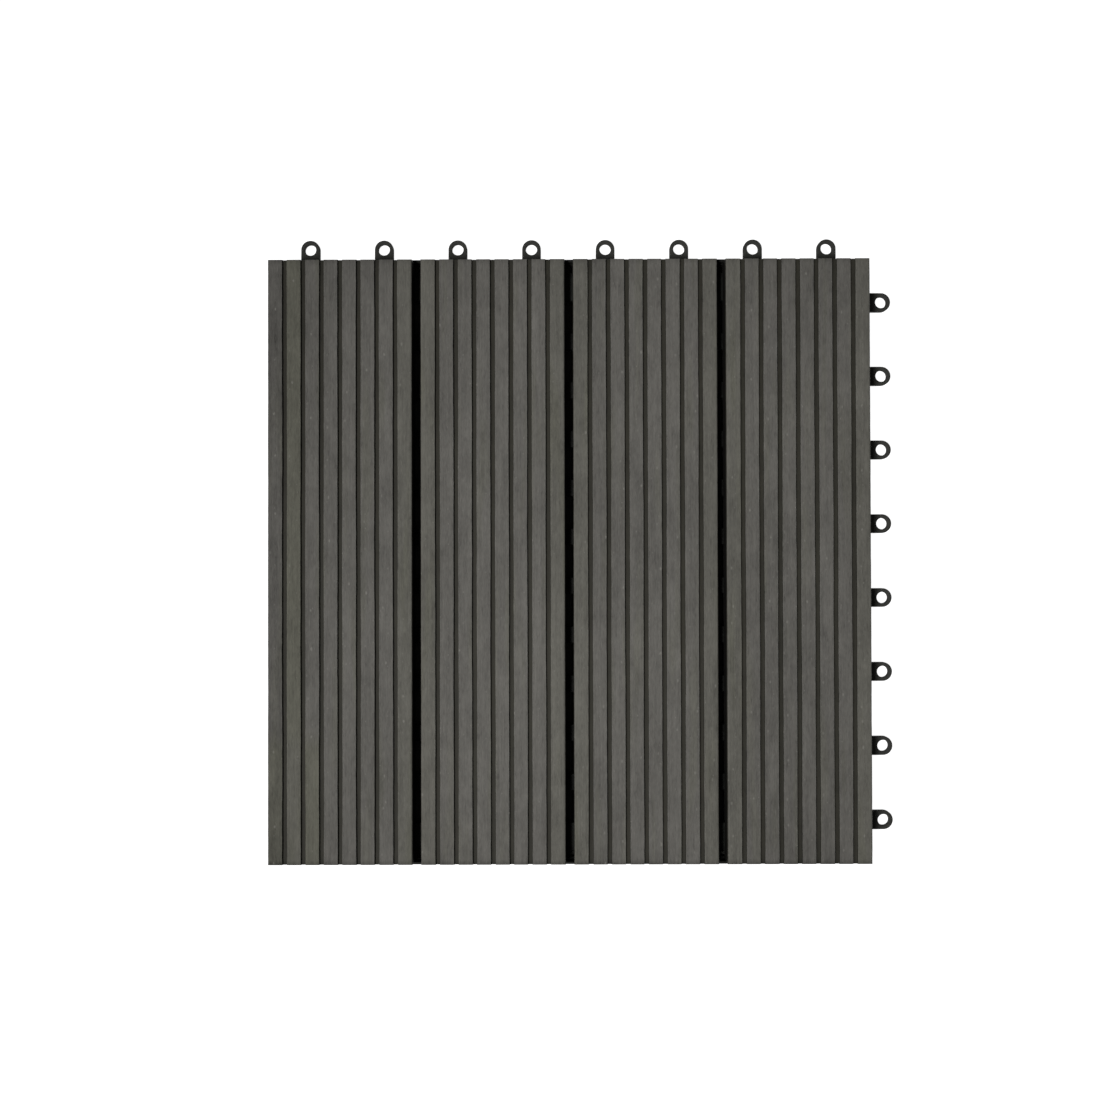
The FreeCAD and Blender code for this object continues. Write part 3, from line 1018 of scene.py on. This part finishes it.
@dataclass(frozen=True)
class Base:
    """The moulded base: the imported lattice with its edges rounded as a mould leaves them."""

    boards: BoardSize = BoardSize()
    finish: MouldedPlastic = MouldedPlastic()
    merge_distance: float = 0.002 * MM
    flat_angle: float = 0.5
    sharp_angle: float = 30.0
    crease: float = 50.0
    tolerance: float = 0.01 * MM
    rounding: float = 0.18 * MM
    loop_rounding: float = 0.3 * MM
    loop_segments: int = 4
    loop_top: float = 3.5 * MM
    rib_bottom: float = 4.4 * MM
    rim: float = 149.9 * MM
    bore: float = 2.9 * MM
    bore_margin: float = 0.3 * MM
    loop_line: float = 158.8 * MM
    loop_pitch: float = 37.5 * MM
    stop_width: float = 6.4 * MM
    stop_depth: float = 1.1 * MM
    stop_low: float = 11.4 * MM
    stop_high: float = 16.0 * MM
    stop_end: float = 149.8 * MM
    stop_segments: int = 3

    def merged(self) -> bmesh.types.BMesh:
        """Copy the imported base, with its loose triangles joined into flat faces.

        Returns:
            The copy.
        """
        work = bmesh.new()
        work.from_mesh(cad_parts["base_grid"].data)
        bmesh.ops.remove_doubles(work, verts=work.verts, dist=self.merge_distance)
        limit = np.radians(self.flat_angle)
        bmesh.ops.dissolve_limit(work, angle_limit=limit, verts=work.verts, edges=work.edges)
        return work

    def on_loop_edge(self, edge: bmesh.types.BMEdge) -> bool:
        """Whether an edge lies along the outer top edge of a loop.

        Args:
            edge: an edge of the base.

        Returns:
            True if both its ends are in the loops' top face, beyond the rim and off the bore.
        """
        for vertex in edge.verts:
            far, near = max(vertex.co.x, vertex.co.y), min(vertex.co.x, vertex.co.y)
            if abs(vertex.co.z - self.loop_top) > self.tolerance or far < self.rim:
                return False
            along = near % self.loop_pitch - self.loop_pitch / 2
            if np.hypot(far - self.loop_line, along) < self.bore + self.bore_margin:
                return False
        return True

    def under_ribs(self, edge: bmesh.types.BMEdge) -> bool:
        """Whether an edge lies in the plane of the ribs' lower faces, which stay as they are."""
        return all(abs(end.co.z - self.rib_bottom) < self.tolerance for end in edge.verts)

    def sharp(self, work: bmesh.types.BMesh) -> list[bmesh.types.BMEdge]:
        """Edges whose two faces turn by more than the sharp angle."""
        limit = np.radians(self.sharp_angle)
        return [e for e in work.edges if len(e.link_faces) == 2 and e.calc_face_angle(0) > limit]

    def add_stops(self, work: bmesh.types.BMesh) -> None:
        """Add a small round-edged stop between two boards at each end of each gap.

        Args:
            work: the base, which gets the stops as closed shells that stand in its rim.
        """
        size = (self.stop_width, self.stop_depth, self.stop_high - self.stop_low)
        height = (self.stop_high + self.stop_low) / 2
        for gap in range(self.boards.count - 1):
            for side in (-1, 1):
                y = side * (self.stop_end - self.stop_depth / 2)
                middle = Vector((self.boards.gap_middle(gap), y, height))
                place = Matrix.Translation(middle) @ Matrix.Diagonal((*size, 1))
                made = bmesh.ops.create_cube(work, size=1.0, matrix=place)
                edges = dict.fromkeys(e for vertex in made["verts"] for e in vertex.link_edges)
                round_edges(work, list(edges), self.rounding, self.stop_segments, clamp=False)

    def build(self) -> None:
        """Round the base's edges and dress it."""
        work = self.merged()
        loops = [edge for edge in self.sharp(work) if self.on_loop_edge(edge)]
        round_edges(work, loops, self.loop_rounding, self.loop_segments, clamp=True)
        rest = [edge for edge in self.sharp(work) if not self.under_ribs(edge)]
        round_edges(work, rest, self.rounding, 1, clamp=False)
        self.add_stops(work)
        mesh = bpy.data.meshes.new("moulded_base")
        work.to_mesh(mesh)
        work.free()
        piece = add_object("moulded_base", mesh)
        smooth_by_angle(piece, self.crease)
        dress(piece, self.finish.material(), "base_plastic", "base_grid")


@dataclass(frozen=True)
class Screws:
    """Pan-head screws with a cross recess, seen from below in their posts.

    Each run of the head's rings gives the first and the last radius, as shares of the head's,
    and how many rings there are. The ridge's half width is a share of the thread's pitch. Each
    screw is turned by an angle for its board's number and another for its place along Y.
    """

    boards: BoardSize = BoardSize()
    finish: PlatedSteel = PlatedSteel()
    seat: float = 4.4 * MM
    head_radius: float = 3.8 * MM
    head_height: float = 2.2 * MM
    head_drop: float = 0.9 * MM
    rim_height: float = 0.45
    rim_run: tuple[float, float, int] = (0.98, 0.6, 5)
    recess_run: tuple[float, float, int] = (0.56, 0.02, 26)
    recess_reach: float = 2.1 * MM
    recess_end: float = 0.9 * MM
    recess_width: float = 0.55 * MM
    recess_slope: float = 0.22 * MM
    recess_depth: float = 1.3 * MM
    shank_radius: float = 2.0 * MM
    core_radius: float = 1.45 * MM
    length: float = 14 * MM
    shank_rings: int = 112
    thread_pitch: float = 1.6 * MM
    thread_start: float = 0.8 * MM
    ridge_half: float = 0.34
    tip: float = 3.0 * MM
    tip_least: float = 0.03
    tip_power: float = 0.8
    sides: int = 48
    board_turn: float = 0.7
    line_turn: float = 31.0
    crease: float = 40.0

    def head(self) -> np.ndarray:
        """Underside of the head as a function of angle and radius.

        It is a dome, z = lowest + drop times the fourth power of the radius' share, with a
        cross-shaped pit: each arm is a smooth step across its width times a rise along its reach.

        Returns:
            Rings of points from the rim inwards.
        """
        angle = round_angles(self.sides)
        runs = (np.linspace(*self.rim_run), np.linspace(*self.recess_run))
        share = np.concatenate(runs)[:, None]
        x = share * self.head_radius * np.cos(angle)
        y = share * self.head_radius * np.sin(angle)
        arms = []
        for across, along in ((x, y), (y, x)):
            side = np.clip((self.recess_width - np.abs(across)) / self.recess_slope, 0, 1)
            reach = np.clip((self.recess_reach - np.abs(along)) / self.recess_end, 0, 1)
            arms.append(side * side * (3 - 2 * side) * reach)
        pit = self.recess_depth * np.maximum(*arms)
        z = self.seat - self.head_height + self.head_drop * share**4 + pit
        return np.stack((x, y, z), axis=-1)

    def shank(self) -> np.ndarray:
        """Threaded shank as a function of angle and height.

        The radius is the core plus a ridge that follows a helix, both drawn in towards the tip.

        Returns:
            Rings of points from the seat upwards.
        """
        angle = round_angles(self.sides)
        rise = np.linspace(0.0, self.length, self.shank_rings)[:, None]
        phase = (rise / self.thread_pitch - angle / (2 * np.pi)) % 1.0
        ridge = np.clip(1 - np.abs(phase - 0.5) / self.ridge_half, 0, 1)
        start = np.clip(rise / self.thread_start, 0, 1)
        taper = np.clip((self.length - rise) / self.tip, self.tip_least, 1) ** self.tip_power
        depth = self.shank_radius - self.core_radius
        radius = (self.core_radius + depth * ridge * start) * taper
        x = radius * np.cos(angle)
        y = radius * np.sin(angle)
        z = np.broadcast_to(self.seat + rise, x.shape)
        return np.stack((x, y, z), axis=-1)

    def rings(self) -> np.ndarray:
        """One whole screw on the Z axis: the head, its rim, its flat upper side and the shank.

        Returns:
            Rings of points from the head's middle to the tip.
        """
        head = self.head()[::-1]
        rim = head[-1:].copy()
        rim[..., :2] /= self.rim_run[0]
        rim[..., 2] = self.seat - self.head_height * self.rim_height
        flange = rim.copy()
        flange[..., 2] = self.seat
        return np.concatenate((head, rim, flange, self.shank()))

    def build(self) -> None:
        """Make and dress all the screws as one piece of separate closed shells."""
        s = self.boards
        rings = self.rings()
        rows = rings.reshape(-1, 3)
        points, faces = [], []
        for number in range(s.count):
            for y in (-s.hole_line, s.hole_line):
                angle = self.board_turn * number + self.line_turn * y
                turn = np.array(Euler((0, 0, angle)).to_matrix())
                faces += tube_faces(len(rings), self.sides, len(points) * len(rows))
                points.append(rows @ turn.T + np.array([s.board_middle(number), y, 0.0]))
        piece = mesh_piece("screws", np.concatenate(points), faces)
        outward(piece)
        smooth_by_angle(piece, self.crease)
        dress(piece, self.finish.material(), "screw_steel", "fixing_screws")


@dataclass(frozen=True)
class Studio:
    """Camera, floor and lights.

    The camera is given as it was fitted to the photograph: its turn in degrees, the place of
    the tread's middle as the camera sees it, and the focal length in picture widths.
    """

    tread: float = BoardSize().top
    tilt: Triple = (-0.50702, -0.08846, 0.14427)
    offset: Triple = (4.593 * MM, -0.506 * MM, -515.8345 * MM)
    focal: float = 1052.992 / 1120
    sensor: float = 36.0
    clip: Pair = (0.02, 50.0)
    sky: float = 0.15
    key: float = 211.0
    key_place: Triple = (-0.65, -0.43, 1.68)
    key_aim: Triple = (0.038, 0.003, 0.022)
    key_half_angle: float = 14.3
    key_radius: float = 0.19
    floor_half: float = 20.0
    floor_colour: Colour = colour(0.2, 0.2, 0.2)
    glow: float = 1.0

    def camera(self) -> None:
        """Place the camera that was fitted to the photograph."""
        roll = Euler([np.radians(angle) for angle in self.tilt], "XYZ").to_matrix()
        back = roll.transposed()
        place = back @ -Vector(self.offset) + Vector((0, 0, self.tread))
        data = bpy.data.cameras.new("camera")
        data.sensor_width = self.sensor
        data.lens = self.focal * self.sensor
        data.clip_start, data.clip_end = self.clip
        camera = add_object("camera", data)
        camera.matrix_world = Matrix.Translation(place) @ back.to_4x4()
        bpy.context.scene.camera = camera

    def floor(self) -> None:
        """Lay a plain pale floor."""
        turns = ((-1, -1, 0), (1, -1, 0), (1, 1, 0), (-1, 1, 0))
        floor = mesh_piece("floor", self.floor_half * np.array(turns), [[0, 1, 2, 3]])
        finish = Shader("pale_floor").finish(
            Base_Color=self.floor_colour,
            Roughness=1.0,
            Emission_Color=colour(1, 1, 1),
            Emission_Strength=self.glow,
        )
        floor.data.materials.append(finish)

    def key_light(self) -> None:
        """Hang the key light: a soft-edged beam from the lower left, which fades to its rim."""
        data = bpy.data.lights.new("key", "SPOT")
        data.energy = self.key
        data.spot_size = 2 * np.radians(self.key_half_angle)
        data.spot_blend = 1.0
        data.shadow_soft_size = self.key_radius
        light = add_object("key", data)
        place = Vector(self.key_place)
        aim = (Vector(self.key_aim) - place).to_track_quat("-Z", "Y")
        light.matrix_world = Matrix.Translation(place) @ aim.to_matrix().to_4x4()

    def sky_light(self) -> None:
        """Give the world an even white light."""
        world = bpy.data.worlds.new("studio")
        world.use_nodes = True
        background = world.node_tree.nodes["Background"]
        background.inputs["Color"].default_value = colour(1, 1, 1)
        background.inputs["Strength"].default_value = self.sky
        bpy.context.scene.world = world

    def build(self) -> None:
        """Set the whole stage."""
        bpy.context.scene.view_settings.view_transform = "Standard"
        self.camera()
        self.floor()
        self.key_light()
        self.sky_light()


def main() -> None:
    """Build the stage and every sub-assembly."""
    logging.basicConfig(level=logging.INFO, format="%(name)s: %(message)s")
    Studio().build()
    Boards().build()
    Base().build()
    Screws().build()


if __name__ == "__main__":
    main()
